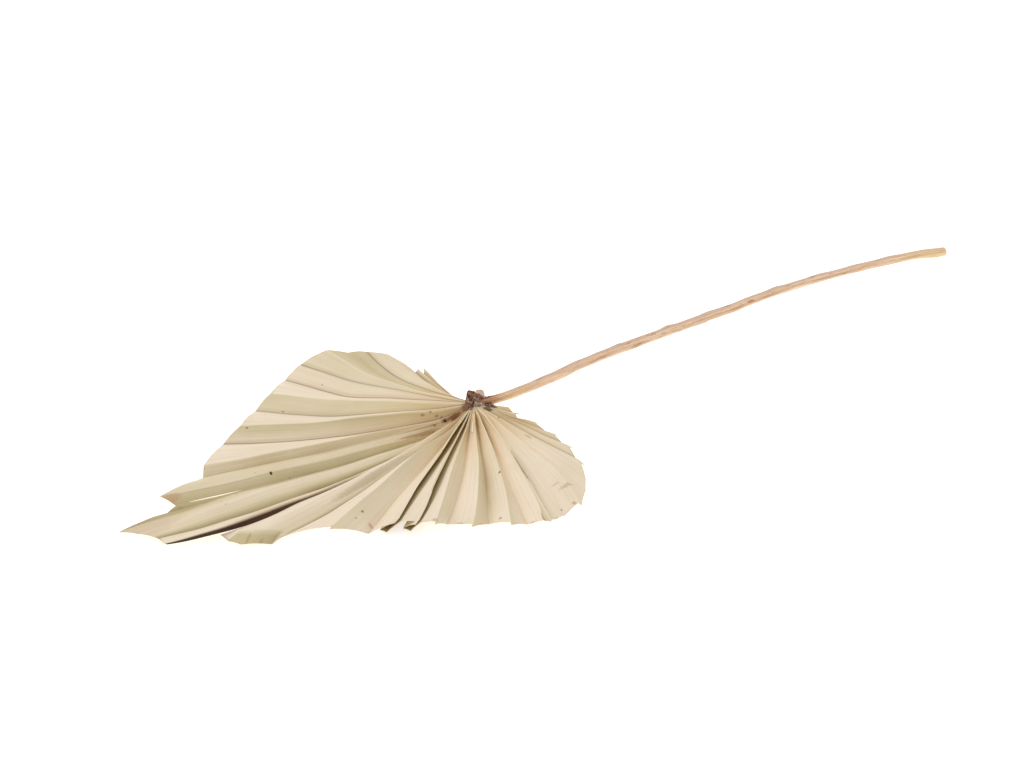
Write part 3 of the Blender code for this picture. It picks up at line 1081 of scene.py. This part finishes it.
@dataclass(frozen=True)
class StalkFinish:
    """Peeled dry stalk: pinkish tan above, straw below, with grooves, scars, a dark cut end and a painted
    highlight along its flats.
    """

    tan: Colour = (255, 214, 176)
    straw: Colour = (254, 233, 200)
    gold: Colour = (250, 212, 150)
    groove: Colour = (206, 154, 114)
    skin: Colour = (220, 194, 178)
    # The colour of the painted highlight stripe, also used to pale the lower edge.
    highlight_and_pale_edge: Colour = (255, 232, 208)
    low: Colour = (208, 160, 108)
    root: Colour = (190, 122, 82)
    stain: Colour = (140, 84, 58)
    end: Colour = (150, 124, 98)
    scar_at: float = 204.5 * MM

    def bark(self, paint: Paint, maps: StalkMaps) -> bpy.types.NodeSocket:
        """Colours the peeled flats, from the skin on the upper edge to a paler lower edge, with a painted
        highlight stripe along their middle.

        Args:
            paint: the material.
            maps: what the mesh says.

        Returns:
            The colour so far.
        """
        side, up, bands = maps.side, maps.up, maps.bands
        peeled = side * 0.55 - up * 0.6 + (bands - 0.5) * 2.2 + maps.length.between(0.3, 0.36) * 0.5
        colour = paint.mix(peeled.between(0.1, 0.75), linear(self.tan), linear(self.straw))
        ridge = side * -0.5 + up * 0.86 + (bands - 0.5) * 0.5 + (maps.grain - 0.5) * 0.3
        # A painted highlight stripe along the middle of the flats.
        from_highlight = (ridge - 0.15) * 3.4
        colour = paint.mix((1 - from_highlight * from_highlight).most(0.0) * 0.6, colour, linear(self.highlight_and_pale_edge))
        from_low = (ridge + 0.4) * 3.2
        low = (1 - from_low * from_low).most(0.0) * bands.between(0.42, 0.6)
        colour = paint.mix(low * 0.7, colour, linear(self.low))
        # Paler towards the lower edge.
        colour = paint.mix(ridge.between(-0.5, -0.85) * 0.55, colour, linear(self.highlight_and_pale_edge))
        upper = ridge.between(0.5, 0.8) * (0.45 + maps.lines.between(0.35, 0.6) * 0.45)
        return paint.mix(upper, colour, linear(self.skin))

    def grooves(self, paint: Paint, maps: StalkMaps, colour: bpy.types.NodeSocket) -> bpy.types.NodeSocket:
        """Darkens the streaks, the grooves and the blotches.

        Args:
            paint: the material.
            maps: what the mesh says.
            colour: the colour so far.

        Returns:
            The new colour.
        """
        grain, lines = maps.grain, maps.lines
        streak = maps.side * 0.98 - maps.up * 0.1 + (maps.bands - 0.5) * 1.2 + (lines - 0.5) * 0.6
        colour = paint.mix(streak.between(0.75, 0.95) * 0.45, colour, linear(self.groove))
        colour = paint.mix((1 - grain.between(0.36, 0.47)) * 0.4, colour, linear(self.groove))
        colour = paint.mix((1 - lines.between(0.36, 0.45)) * 0.5, colour, linear(self.groove))
        strength = 0.4 + maps.length.between(0.05, 0.03) * 0.3
        return paint.mix(maps.blotches.between(0.58, 0.68) * strength, colour, linear(self.stain))

    def ends(self, paint: Paint, maps: StalkMaps, colour: bpy.types.NodeSocket) -> bpy.types.NodeSocket:
        """Yellows both ends, stains the root and darkens the cut.

        Args:
            paint: the material.
            maps: what the mesh says.
            colour: the colour so far.

        Returns:
            The new colour.
        """
        length, side, up = maps.length, maps.side, maps.up
        colour = paint.mix(length.between(0.3, 0.35) * 0.5, colour, linear(self.gold))
        colour = paint.mix(length.between(0.05, 0.02) * 0.35, colour, linear(self.gold))
        root = (length + (maps.bands - 0.5) * 0.02).between(0.026, 0.008)
        colour = paint.mix(root * 0.8, colour, linear(self.root))
        crown = (up + side * -0.3 + (maps.lines - 0.5) * 0.6).between(0.85, 1.1)
        colour = paint.mix(crown * length.between(0.022, 0.014), colour, linear(self.stain))
        from_scar = (length - self.scar_at) * 320
        from_side = (up - 0.42) * 2.6
        scar = from_scar * from_scar + from_side * from_side + (maps.grain - 0.5) * 2
        scarred = (1 - scar.between(0.2, 1.2)) * side.between(0, 0.3)
        colour = paint.mix(scarred * 0.55, colour, linear(self.stain))
        return paint.mix(maps.cut, colour, linear(self.end))

    def material(self) -> bpy.types.Material:
        """Makes the finish.

        Returns:
            The material.
        """
        paint = Paint("dried_stalk")
        maps = StalkMaps(paint)
        colour = self.ends(paint, maps, self.grooves(paint, maps, self.bark(paint, maps)))
        bumps = [(maps.grain, 0.5 * MM), (maps.lines, 0.4 * MM)]
        return paint.finish(colour, 0.5 + (maps.grain - 0.5) * 0.3, bumps, {"Specular IOR Level": 0.4})


@dataclass(frozen=True)
class TornFibreFinish:
    """The hastula's torn, dark fibres, with paler broken edges."""

    dark: Colour = (82, 50, 36)
    brown: Colour = (168, 122, 98)
    pale: Colour = (238, 216, 192)

    def material(self) -> bpy.types.Material:
        """Makes the finish.

        Returns:
            The material.
        """
        paint = Paint("torn_fibre")
        place = paint.node("ShaderNodeTexCoord").outputs["Object"]
        pale = paint.attribute("pale")
        fibre = paint.noise(place, 1500, 4, 0.7)
        blotch = paint.noise(place, 520, 3, 0.6)
        colour = paint.mix(blotch.between(0.4, 0.62), linear(self.dark), linear(self.brown))
        bleach = (pale + (fibre - 0.5) * 0.9 + (blotch - 0.5) * 0.5).between(0.3, 1.0)
        colour = paint.mix(bleach, colour, linear(self.pale))
        bumps = [(fibre, 0.15 * MM), (blotch, 0.3 * MM)]
        return paint.finish(colour, 0.6 + (blotch - 0.5) * 0.3, bumps, {"Specular IOR Level": 0.4})


DARK_SPECK = (104, 72, 38)
RED_SPECK = (178, 112, 84)

MARKS = (
    Mark(-6, 8.5, 6, 2, 0.65, (180, 114, 66)),
    Mark(-9, 11.5, 4.2, 1.5, 0.85, (132, 80, 42)),
    Mark(-7.5, 16.5, 3, 1, 0.6, (140, 88, 50)),
    Mark(36, 5, 2.2, 2.2, 0.6, (150, 96, 66)),
    Mark(0, 4.5, 2.5, 4.5, 0.7, (120, 80, 55)),
    Mark(-6.8, 30, 14, 0.5, 0.45, (140, 100, 54)),
    Mark(-2.5, 33, 15, 0.7, 0.6, (140, 98, 52)),
    Mark(-7, 16.8, 1.2, 0.6, 0.95, (62, 42, 24)),
    Mark(-5.9, 22.8, 1.3, 0.5, 0.5, DARK_SPECK),
    Mark(-22.6, 20, 1.1, 0.3, 0.5, DARK_SPECK),
    Mark(-21.4, 17.5, 0.7, 0.3, 0.5, DARK_SPECK),
    Mark(-23.7, 27.4, 1.3, 0.35, 0.5, DARK_SPECK),
    Mark(-24.9, 23.2, 0.8, 0.3, 0.5, DARK_SPECK),
    Mark(103.5, 18.8, 0.7, 0.6, 0.6, DARK_SPECK),
    Mark(-1.6, 118, 0.9, 0.8, 0.95, (50, 38, 26)),
    Mark(-37.7, 103.3, 0.8, 0.5, 0.7, DARK_SPECK),
    Mark(-24.5, 120, 0.8, 0.6, 0.7, DARK_SPECK),
    Mark(2.5, 142, 0.8, 0.6, 0.7, DARK_SPECK),
    Mark(4.4, 153, 0.7, 0.5, 0.5, DARK_SPECK),
    Mark(0, 109, 0.8, 0.7, 0.4, RED_SPECK),
    Mark(-2, 173, 7, 3, 0.5, (196, 150, 104)),
    Mark(3.5, 196, 24, 9, 0.5, (208, 180, 150)),
    Mark(29.8, 111, 0.8, 0.7, 0.7, DARK_SPECK),
    Mark(29.8, 117, 0.6, 0.5, 0.5, DARK_SPECK),
    Mark(70.4, 69, 0.8, 0.8, 0.85, DARK_SPECK),
    Mark(67, 99.5, 0.7, 0.9, 0.6, DARK_SPECK),
    Mark(85.2, 100, 0.7, 0.6, 0.6, DARK_SPECK),
    Mark(89.4, 100, 1.3, 1.2, 0.5, RED_SPECK),
    # A band of painted shade along the panel after the fold at 20 degrees, from 46 to 114 mm out.
    Mark(19.7, 80, 34, 2.2, 0.35, (158, 136, 96)),
    Mark(17.2, 155, 2.4, 0.8, 0.35, RED_SPECK),
    Mark(15.4, 158, 2.2, 0.8, 0.35, (160, 120, 84)),
    Mark(32.8, 113.5, 1.2, 1.3, 0.45, RED_SPECK),
    Mark(49.2, 107.5, 1.2, 1.6, 0.4, RED_SPECK),
    Mark(91, 88.5, 1.2, 4.5, 0.4, (184, 134, 92)),
    Mark(88.4, 84.5, 0.8, 2.5, 0.3, (184, 134, 92)),
    # A line of painted shadow in the slit beside the overhanging crease at 79.6 degrees.
    Mark(80, 67, 15, 0.45, 0.7, (112, 84, 52)),
    Mark(101.5, 42, 3, 0.5, 0.5, (150, 124, 84)),
    Mark(116, 8.8, 3.2, 2.4, 0.8, (114, 70, 46)),
    Mark(143, 9, 3.6, 2.2, 0.8, (110, 68, 48)),
)


def tidy_mesh(item: bpy.types.Object) -> None:
    """Merges doubled points and turns all faces outwards.

    Args:
        item: the object.
    """
    deselect_all()
    bpy.context.view_layer.objects.active = item
    item.select_set(True)
    bpy.ops.object.mode_set(mode="EDIT")
    bpy.ops.mesh.select_all(action="SELECT")
    bpy.ops.mesh.remove_doubles(threshold=TOUCHING)
    bpy.ops.mesh.normals_make_consistent(inside=False)
    bpy.ops.object.mode_set(mode="OBJECT")


@dataclass(frozen=True)
class Relief:
    """Smooth unevenness of the stalk's skin.

    Args:
        depth: how far it rises and sinks, as a share of the half width.
        fineness: how quickly it changes round the stalk.
        rate: how quickly it changes along it.
        seed: which unevenness it is.
    """

    depth: float
    fineness: float
    rate: float
    seed: float

    def at(self, angle: float, length: float) -> float:
        """The unevenness from -1 to 1, at an angle round the stalk and metres along it."""
        x, y = math.cos(angle) * self.fineness, math.sin(angle) * self.fineness
        return ripple(x, y, length * self.rate + self.seed)


@dataclass
class Petiole:
    """The arched stalk, peeled into flats and grooves.

    Args:
        route: points of its centreline in millimetres from the foot of the hub.
        half_widths: in millimetres, at shares of the way to the cut end.
        nubs: millimetres along to each scar of its upper edge, and how far it stands out as a share.
        nub_length: half a scar's length, in millimetres.
        nub_facing, nub_edge: which way the scars face, sideways and up, and where their rim is round it.
        top_share: how flat the top is, against the round underside.
        head, head_length: share of its width that it starts with, and how far along it is whole.
        cut_share: how much of its width the rim of the cut keeps.
        twist: radians by which its flats wander round it.
        flats, flats_turn: how deep its three flats are, as a share of the half width, and their turn.
        peel, grooves, knots: its reliefs, of which the knots only stand out.
        knot_sharpness: power of the knots' curve.
        sway, wobble: how far it wanders sideways, slowly and quickly.
        straight_length: how far along its wandering takes to reach its full size.
        rings: faces along its length.
        sides: faces round it.
        sharp_from: degrees between faces past which an edge is sharp.
    """

    route: tuple[tuple[float, float, float], ...] = (
        (-3, 0, 14),
        (34, -1, 16.2),
        (85, 8, 17),
        (161, 20, 14),
        (241, 31, 11.8),
        (322, 36, 6.4),
        (356, 35, 2.95),
    )
    half_widths: tuple[tuple[float, float], ...] = (
        (0, 2.6),
        (0.1, 2.5),
        (0.2, 2.95),
        (0.45, 2.8),
        (0.7, 2.65),
        (0.86, 2.65),
        (0.95, 3.0),
        (1, 2.9),
    )
    nubs: tuple[tuple[float, float], ...] = ((103, 0.2), (141, 0.42), (172, 0.2), (228, 0.2))
    nub_length: float = 4.0
    nub_facing: tuple[float, float] = (-0.5, 0.86)
    nub_edge: float = 0.2
    top_share: float = 0.72
    head: float = 0.45
    head_length: float = 9 * MM
    cut_share: float = 0.9
    twist: float = 0.5
    flats: float = 0.05
    flats_turn: float = 1.2
    peel: Relief = Relief(0.11, 1.4, 14, 0)
    grooves: Relief = Relief(0.05, 5, 20, 7)
    knots: Relief = Relief(0.36, 1.2, 55, 31)
    knot_sharpness: float = 1.5
    sway: float = 0.5 * MM
    wobble: float = 0.3 * MM
    straight_length: float = 30 * MM
    rings: int = 260
    sides: int = 48
    sharp_from: float = 45.0
    hub: Vector = field(default_factory=hub_place)

    def centreline(self) -> list[Vector]:
        """Runs a smooth curve through the route.

        Returns:
            Points evenly spaced in share along it.
        """
        points = [Vector(point) * MM + self.hub for point in self.route]
        ends = [2 * points[0] - points[1], *points, 2 * points[-1] - points[-2]]
        spans = len(points) - 1
        line = []
        for ring in range(self.rings + 1):
            reached = ring / self.rings * spans
            span = min(int(reached), spans - 1)
            t = reached - span
            a, b, c, d = ends[span : span + 4]
            square, cube = 2 * a - 5 * b + 4 * c - d, 3 * b - a - 3 * c + d
            line.append(((2 * b) + (c - a) * t + square * t**2 + cube * t**3) * 0.5)
        return line

    def radius(self, ring: int, length: float, angle: float) -> float:
        """The stalk's half width at a point of a ring, with its flats, grooves and scars.

        Args:
            ring: the ring's number.
            length: how far along the stalk it is.
            angle: the point's place round the ring.

        Returns:
            The half width in metres.
        """
        wide = float(np.interp(ring / self.rings, *zip(*self.half_widths))) * MM
        head = min(1.0, self.head + (1 - self.head) * length / self.head_length)
        turned = angle + self.twist * ripple(length * 9, 0.0, 3.0)
        peel = self.peel.depth * self.peel.at(turned, length)
        flats = self.flats * math.cos(3 * turned + self.flats_turn)
        grooves = self.grooves.depth * self.grooves.at(angle, length)
        knots = self.knots.depth * max(0.0, self.knots.at(angle, length)) ** self.knot_sharpness
        facing = self.nub_facing[1] * math.sin(angle) + self.nub_facing[0] * math.cos(angle)
        upper = max(0.0, facing - self.nub_edge)
        from_nubs = [((length / MM - at) / self.nub_length, size) for at, size in self.nubs]
        knots += upper * sum(size * math.exp(-(away**2)) for away, size in from_nubs)
        cut = self.cut_share if ring == self.rings else 1
        return wide * head * (1 + peel + flats + grooves + knots) * cut

    def skin_point(self, line: list[Vector], ring: int, length: float, angle: float) -> Vector:
        """A point of the stalk's skin.

        Args:
            line: the centreline.
            ring: the ring's number.
            length: how far along the stalk it is.
            angle: the point's place round the ring.

        Returns:
            Its place.
        """
        forward = (line[min(ring + 1, self.rings)] - line[max(ring - 1, 0)]).normalized()
        side = forward.cross(Vector((0, 0, 1))).normalized()
        up = side.cross(forward)
        radius = self.radius(ring, length, angle)
        wander = self.sway * ripple(length * 26, 2.0, 1.0) + self.wobble * ripple(length * 80, 5.0, 1.0)
        lean = side * (wander * min(1, length / self.straight_length))
        rise = math.sin(angle) * (self.top_share if math.sin(angle) > 0 else 1)
        flush = min(1.0, (self.rings - ring) / 2)
        middle = line[self.rings] + (line[ring] - line[self.rings]) * flush
        return middle + lean + side * (radius * math.cos(angle)) + up * (radius * rise)

    def build(self) -> bpy.types.Object:
        """Models the stalk.

        Returns:
            The stalk, without a material.
        """
        deselect_all()
        bpy.ops.mesh.primitive_grid_add(x_subdivisions=self.sides, y_subdivisions=self.rings, size=2)
        stalk = bpy.context.active_object
        stalk.name = stalk.data.name = "leaf_stalk"
        line = self.centreline()
        travelled = [0.0]
        for before, after in zip(line, line[1:]):
            travelled.append(travelled[-1] + (after - before).length)
        mesh = stalk.data
        painted = {"length": [], "side": [], "up": [], "cut": []}
        for vertex in mesh.vertices:
            column = round((vertex.co.x + 1) / 2 * self.sides) % self.sides
            ring = round((vertex.co.y + 1) / 2 * self.rings)
            angle = math.tau * column / self.sides
            vertex.co = self.skin_point(line, ring, travelled[ring], angle)
            painted["length"].append(travelled[ring])
            painted["side"].append(math.cos(angle))
            painted["up"].append(math.sin(angle))
            painted["cut"].append(float(ring == self.rings))
        for name, values in painted.items():
            mesh.attributes.new(name, "FLOAT", "POINT").data.foreach_set("value", values)
        self.close_ends(stalk)
        bpy.ops.object.shade_smooth_by_angle(angle=math.radians(self.sharp_from))
        LOG.info("stalk: %.0f mm long, %d faces", travelled[-1] / MM, len(mesh.polygons))
        return stalk

    def close_ends(self, stalk: bpy.types.Object) -> None:
        """Joins the tube's seam and fills both ends.

        Args:
            stalk: the open tube.
        """
        deselect_all()
        stalk.select_set(True)
        bpy.ops.object.mode_set(mode="EDIT")
        bpy.ops.mesh.select_all(action="SELECT")
        bpy.ops.mesh.remove_doubles(threshold=TOUCHING)
        bpy.ops.mesh.select_all(action="DESELECT")
        bpy.ops.mesh.select_non_manifold(extend=False)
        bpy.ops.mesh.fill_holes(sides=0)
        bpy.ops.mesh.select_all(action="SELECT")
        bpy.ops.mesh.normals_make_consistent(inside=False)
        bpy.ops.object.mode_set(mode="OBJECT")


@dataclass(frozen=True)
class Scrap:
    """One torn scrap of the hastula, standing on a line near the hub.

    Args:
        start, end: ends of its foot, in millimetres from the hub along X and Y.
        foot: height of its foot over the table, in millimetres.
        tops: height of its top at the two ends.
        bow: millimetres by which its middle bulges to the right of the line from start to end.
        lean: millimetres by which its top leans the same way.
        wall: its thickness in millimetres.
        pale: how bleached it is, up to 1.
        ragged: how torn its top is, as a share of its height.
    """

    start: tuple[float, float]
    end: tuple[float, float]
    foot: float
    tops: tuple[float, float]
    bow: float
    lean: float
    wall: float
    pale: float
    ragged: float


@dataclass
class Hastula:
    """The torn collar between stalk and blade, made of scraps that overlap round the hub.

    Args:
        scraps: the scraps.
        columns, rows: faces along and up each scrap.
        tear, fine_tear: how deep the tears in a scrap's top go, up to 1 for all that may be torn.
        shoulder: share of a scrap's length over which its top rises at each end.
        wave, fine_wave: millimetres by which a scrap waves sideways.
        foot_wave: share of its waves that it has at its foot.
        sway: millimetres by which it wanders along its line.
        narrowing, pale_breadth: share by which its top is narrower, and what bleaching takes off that.
        bleaching: how much paler its top is than its foot.
        sharp_from: degrees between faces past which an edge is sharp.
    """

    scraps: tuple[Scrap, ...] = (
        Scrap((-3.2, 2.2), (2.4, 1.2), 14, (22.4, 21.2), -0.3, -0.5, 2.0, 0.1, 0.12),
        Scrap((0.6, 1.6), (7.4, 0.6), 14, (20.4, 17.2), -0.4, -0.4, 1.8, 0, 0.15),
        Scrap((-2.6, 3.2), (-1.6, -2.8), 13.6, (20.2, 17.8), 1.6, 0.4, 1.1, 0.42, 0.25),
        Scrap((-1.8, -1.2), (4.6, -2.6), 12.6, (17.8, 16.2), 1.0, 0.2, 1.2, 0.55, 0.3),
        Scrap((-1.6, 0.8), (4.8, -0.8), 14, (19.6, 17.2), 0.4, 0.4, 1.2, 0.45, 0.35),
        Scrap((1.6, 1.6), (7.4, 0.5), 16, (21.2, 20.4), -0.9, -1.4, 0.6, 1, 0.06),
        Scrap((5.0, 0.9), (13.5, 0.2), 14.8, (17.6, 17.0), 0.3, 0.4, 0.6, 0.1, 0.4),
        Scrap((3.4, -3.0), (10.4, -5.0), 12.4, (16.2, 15.4), 0.7, 1.4, 0.9, 0.3, 0.5),
        Scrap((4.4, -2.4), (9.4, -3.6), 13, (17, 16), 0.5, 0.6, 0.7, 0.2, 0.6),
    )
    columns: int = 44
    rows: int = 14
    tear: float = 1.44
    fine_tear: float = 0.96
    shoulder: float = 1 / 9
    wave: float = 0.9
    fine_wave: float = 0.35
    foot_wave: float = 0.3
    sway: float = 0.5
    narrowing: float = 0.4
    pale_breadth: float = 0.25
    bleaching: float = 0.15
    sharp_from: float = 50.0
    hub: Vector = field(default_factory=hub_place)

    def build(self) -> bpy.types.Object:
        """Models the hastula.

        Returns:
            All its scraps as one piece, without a material.
        """
        torn = [self.build_scrap(scrap, number) for number, scrap in enumerate(self.scraps)]
        deselect_all()
        for item in torn:
            item.select_set(True)
        bpy.context.view_layer.objects.active = torn[0]
        bpy.ops.object.join()
        hastula = bpy.context.active_object
        hastula.name = hastula.data.name = "torn_hastula"
        bpy.ops.object.shade_smooth_by_angle(angle=math.radians(self.sharp_from))
        LOG.info("hastula: %d scraps, %d faces", len(torn), len(hastula.data.polygons))
        return hastula

    def build_scrap(self, scrap: Scrap, number: int) -> bpy.types.Object:
        """Models one scrap.

        Args:
            scrap: its sizes.
            number: its place in the list, which varies its ripples.

        Returns:
            The scrap.
        """
        deselect_all()
        bpy.ops.mesh.primitive_grid_add(x_subdivisions=self.columns, y_subdivisions=self.rows, size=2)
        torn = bpy.context.active_object
        bleached = []
        for vertex in torn.data.vertices:
            across = (vertex.co.x + 1) / 2
            up = (vertex.co.y + 1) / 2
            vertex.co = self.hub + self.scrap_point(scrap, number, across, up) * MM
            bleached.append(scrap.pale + self.bleaching * up**4)
        kept = torn.data.attributes.new("pale", "FLOAT", "POINT")
        kept.data.foreach_set("value", bleached)
        wall = torn.modifiers.new("wall", "SOLIDIFY")
        wall.thickness = scrap.wall * MM
        wall.offset = 0
        bpy.ops.object.modifier_apply(modifier=wall.name)
        tidy_mesh(torn)
        return torn

    def scrap_point(self, scrap: Scrap, number: int, across: float, up: float) -> Vector:
        """A point of a scrap's middle sheet.

        Args:
            scrap: its sizes.
            number: its place in the list.
            across: share of the way from its start to its end.
            up: share of the way from its foot to its top.

        Returns:
            The point, in millimetres from the foot of the hub.
        """
        start, end = Vector((*scrap.start, 0)), Vector((*scrap.end, 0))
        forward = (end - start).normalized()
        right = (end - start).cross(Vector((0, 0, 1))).normalized()
        tear = self.tear * abs(ripple(across * 6, number * 3.0, 6.0))
        tear += self.fine_tear * abs(ripple(across * 19, number * 3.0, 7.0))
        shoulder = min(1.0, across / self.shoulder, (1 - across) / self.shoulder) ** 0.5
        top = scrap.tops[0] + (scrap.tops[1] - scrap.tops[0]) * across
        tall = (top - scrap.foot) * shoulder * (1 - scrap.ragged * min(1.0, tear))
        wave = self.wave * ripple(across * 4, up * 2, number * 5.0)
        wave += self.fine_wave * ripple(across * 15, up * 5, number + 9.0)
        wave *= self.foot_wave + (1 - self.foot_wave) * up
        aside = scrap.bow * math.sin(math.pi * across) + scrap.lean * up**2 + wave
        along = start.lerp(end, across) + forward * (self.sway * ripple(up * 3, across * 5, number))
        narrowing = self.narrowing - self.pale_breadth * scrap.pale
        narrow = (end - start) * ((0.5 - across) * narrowing * up**2)
        return along + narrow + right * aside + Vector((0, 0, scrap.foot + tall * up))


@dataclass(frozen=True)
class Lamp:
    """A square lamp that faces the leaf.

    Args:
        name: what it is called.
        place: where it hangs, in metres.
        size: of its side, in metres.
        power: in watts.
    """

    name: str
    place: tuple[float, float, float]
    size: float
    power: float


@dataclass
class Studio:
    """A white table, soft light from behind on the left and a long lens.

    Args:
        from_hub: the camera's place from the foot of the hub, in metres.
        azimuth, elevation: the way it looks, in degrees.
        lens, sensor: focal length, and how wide the frame is, in millimetres.
        clip: nearest and farthest that it sees, in metres.
        lamps: the lamps.
        aim: what the lamps face, in metres.
        world_strength: how bright the sky is.
        floor_side: of the square table, in metres.
        floor_white, floor_rough, floor_glow: its colour, roughness and own light.
    """

    from_hub: tuple[float, float, float] = (-0.5305, -0.9095, 0.6013)
    azimuth: float = -31.35
    elevation: float = 28.5
    lens: float = 80.0
    sensor: float = 36.0
    clip: tuple[float, float] = (0.05, 50.0)
    lamps: tuple[Lamp, ...] = (
        Lamp("key", (-0.75, 1.25, 1.5), 1.1, 13.0),
        Lamp("fill", (0.9, -1.2, 0.8), 1.4, 2.2),
    )
    aim: tuple[float, float, float] = (0, 0, 0.02)
    world_strength: float = 0.7
    floor_side: float = 30.0
    floor_white: Colour = (246, 246, 246)
    floor_rough: float = 0.9
    floor_glow: float = 0.55
    hub: Vector = field(default_factory=hub_place)

    def build_floor(self) -> bpy.types.Object:
        """Lays the table.

        Returns:
            The floor.
        """
        deselect_all()
        bpy.ops.mesh.primitive_plane_add(size=self.floor_side)
        floor = bpy.context.active_object
        floor.name = "white_table"
        paint = Paint("white_table")
        inputs = {
            "Base Color": linear(self.floor_white),
            "Roughness": self.floor_rough,
            "Emission Color": (1.0, 1.0, 1.0, 1.0),
            "Emission Strength": self.floor_glow,
        }
        shader = paint.node("ShaderNodeBsdfPrincipled", inputs=inputs)
        paint.node("ShaderNodeOutputMaterial", inputs={"Surface": shader.outputs[0]})
        floor.data.materials.append(paint.material)
        return floor

    def hang(self, lamp: Lamp) -> None:
        """Hangs a lamp.

        Args:
            lamp: its place, size and power.
        """
        deselect_all()
        bpy.ops.object.light_add(type="AREA", location=lamp.place)
        light = bpy.context.active_object
        light.name = lamp.name
        light.data.size = lamp.size
        light.data.energy = lamp.power
        light.rotation_euler = (Vector(self.aim) - Vector(lamp.place)).to_track_quat("-Z", "Y").to_euler()

    def light(self) -> None:
        """Hangs the lamps and brightens the world."""
        world = bpy.data.worlds.new("studio")
        world.use_nodes = True
        background = world.node_tree.nodes["Background"]
        background.inputs["Color"].default_value = (1.0, 1.0, 1.0, 1.0)
        background.inputs["Strength"].default_value = self.world_strength
        bpy.context.scene.world = world
        for lamp in self.lamps:
            self.hang(lamp)

    def place_camera(self) -> None:
        """Puts the camera on its tripod."""
        deselect_all()
        place = self.hub + Vector(self.from_hub)
        bpy.ops.object.camera_add(location=place)
        camera = bpy.context.active_object
        camera.name = "camera"
        camera.data.lens = self.lens
        camera.data.sensor_width = self.sensor
        camera.data.clip_start, camera.data.clip_end = self.clip
        turn, tilt = math.radians(self.azimuth), math.radians(self.elevation)
        back = Vector((math.sin(turn) * math.cos(tilt), -math.cos(turn) * math.cos(tilt), math.sin(tilt)))
        camera.rotation_euler = (-back).to_track_quat("-Z", "Y").to_euler()
        bpy.context.scene.camera = camera


def dress(piece: bpy.types.Object, material: bpy.types.Material, node: str) -> None:
    """Gives a piece its finish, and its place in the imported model.

    Args:
        piece: the piece.
        material: its finish.
        node: the CAD node that it stands for.
    """
    piece.data.materials.clear()
    piece.data.materials.append(material)
    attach(piece, BODY)
    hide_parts(node)
    LOG.info("%s stands for %s", piece.name, node)


def main() -> None:
    """Builds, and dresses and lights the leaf."""
    logging.basicConfig(level=logging.INFO, format="%(name)s: %(message)s")
    bpy.context.scene.view_settings.view_transform = "Standard"
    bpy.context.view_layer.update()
    hub = hub_place()
    dress(Blade().build(), BladeFinish(marks=MARKS).material(hub), "blade")
    dress(Petiole().build(), StalkFinish().material(), "petiole")
    dress(Hastula().build(), TornFibreFinish().material(), "hastula")
    studio = Studio()
    studio.build_floor()
    studio.light()
    studio.place_camera()
    bpy.context.view_layer.update()


if __name__ == "__main__":
    main()
